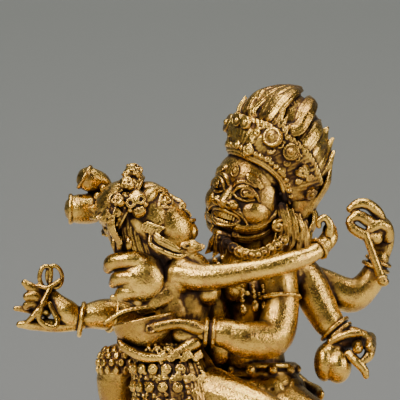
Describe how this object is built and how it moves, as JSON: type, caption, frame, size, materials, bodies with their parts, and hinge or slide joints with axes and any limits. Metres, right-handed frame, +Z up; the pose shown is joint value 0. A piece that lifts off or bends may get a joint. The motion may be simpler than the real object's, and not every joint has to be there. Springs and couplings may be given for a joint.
{
  "type": "mahakala statue",
  "caption": "Gilt bronze group of a six-armed wrathful deity embracing a consort, with skull crown and flaming hair, on a low lotus plinth.",
  "frame": {"origin": "under the middle of the whole object's box, on the plane that the plinth stands on", "axes": "+X to the viewer's right, +Y away from the viewer, +Z up; the picture looks along +Y"},
  "size_m": [0.1512, 0.0798, 0.1604],
  "materials": {
    "gilt_bronze": "fire-gilt cast bronze, worn bright on the ridges, dark brown patina in the recesses",
    "gilt_plinth": "fire-gilt cast bronze, a little duller, dark patina between the petals"
  },
  "bodies": {
    "root": {"mahakala_and_consort": "gilt_bronze", "lotus_base": "gilt_plinth"}
  },
  "joints": []
}
